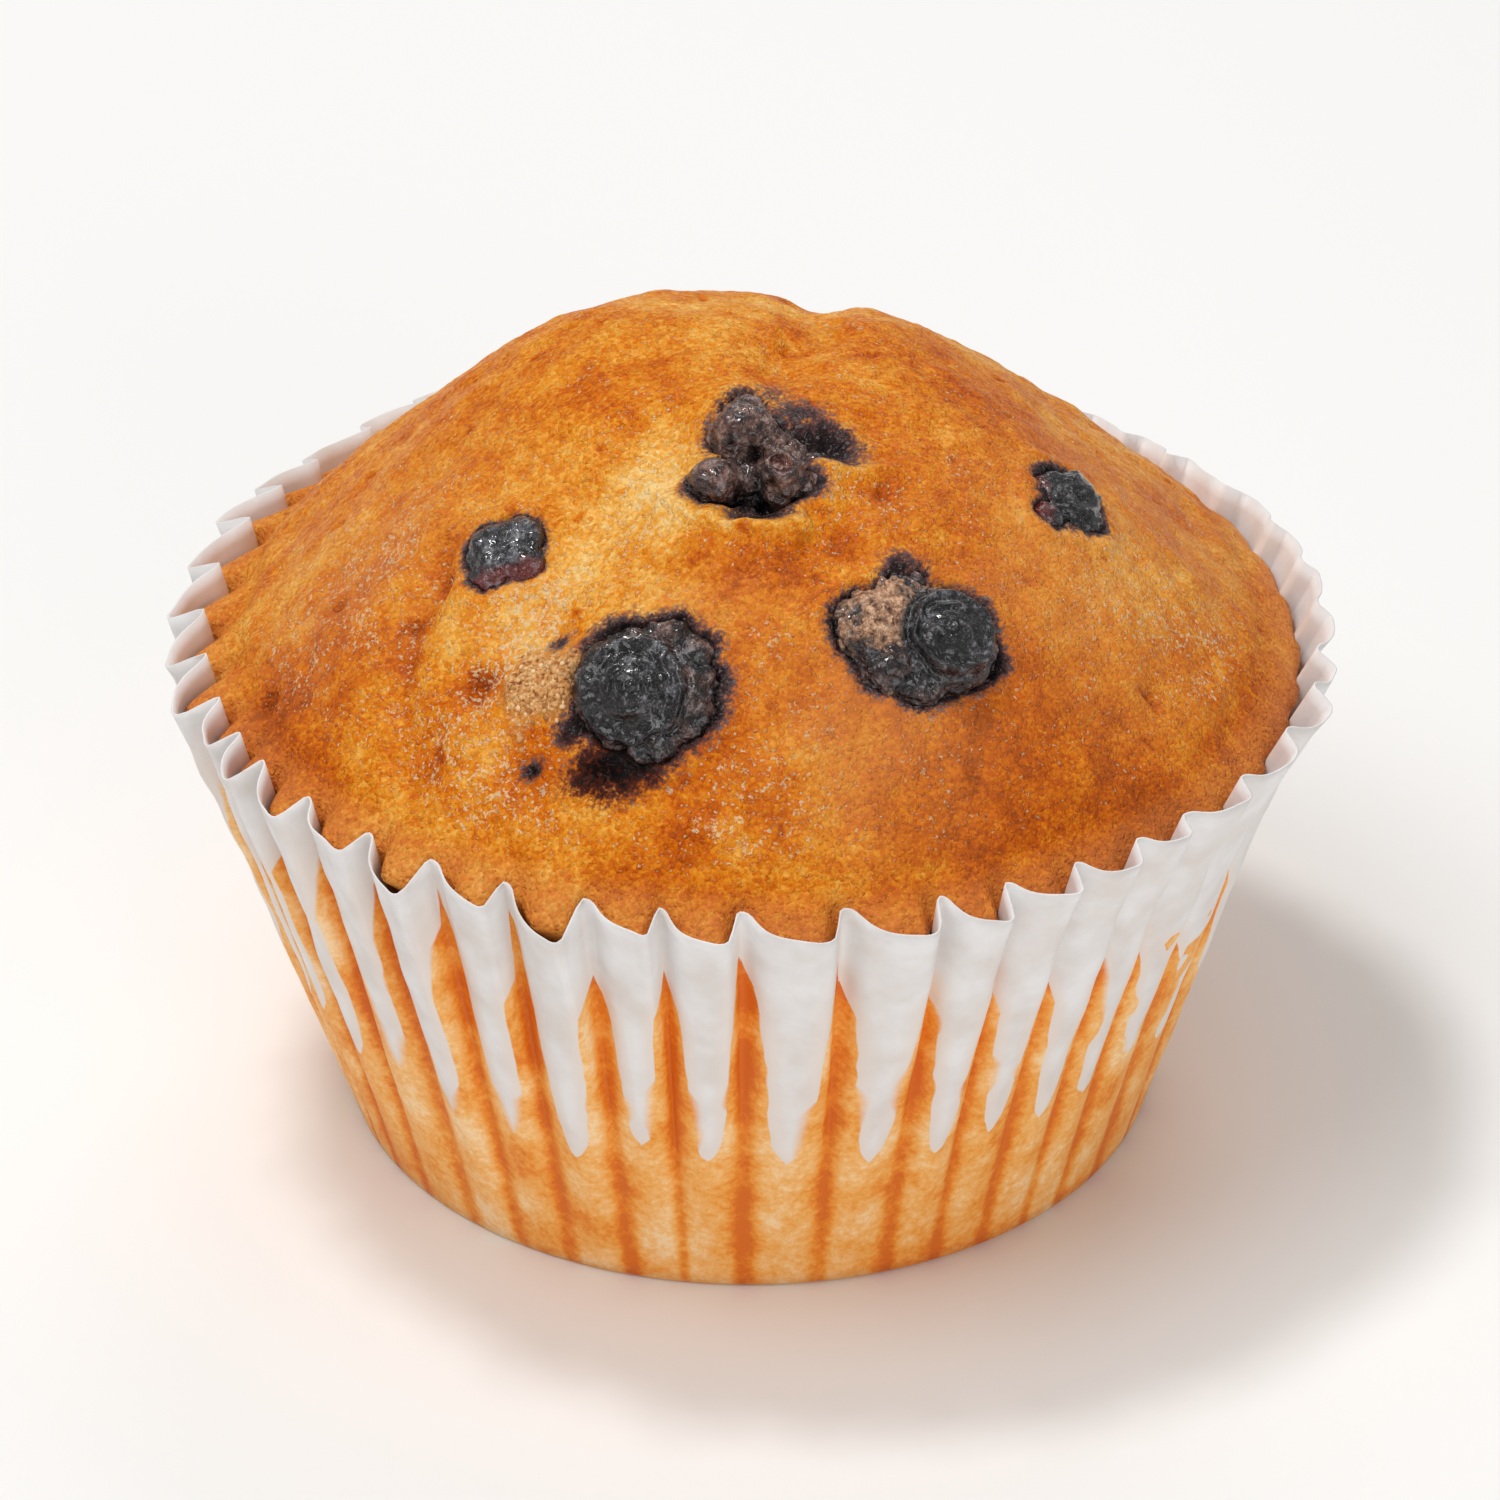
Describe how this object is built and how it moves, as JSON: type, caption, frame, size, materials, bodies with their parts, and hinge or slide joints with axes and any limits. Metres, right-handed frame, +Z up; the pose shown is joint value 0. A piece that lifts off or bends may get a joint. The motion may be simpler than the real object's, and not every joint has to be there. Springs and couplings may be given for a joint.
{
  "type": "muffin",
  "caption": "Baked muffin with a golden domed crown, sunken blueberries and a pleated white greaseproof paper case.",
  "frame": {"origin": "middle of the paper case's flat floor, on the plane that the muffin stands on", "axes": "+Z up through the crown, -Y towards the muffin's front, where most of the berries are"},
  "size_m": [0.0776, 0.0773, 0.0548],
  "materials": {
    "case_paper": "thin white greaseproof paper, stained golden where the cake touches it",
    "crust": "baked golden crust, dry and finely grained",
    "berry_skin": "baked berry skin, dark, wrinkled and moist"
  },
  "bodies": {
    "root": {"paper_case": "case_paper", "cake": "crust", "berry_middle": "berry_skin", "berry_left": "berry_skin", "berry_right": "berry_skin", "berry_front_left": "berry_skin", "berry_front_right": "berry_skin"}
  },
  "joints": []
}
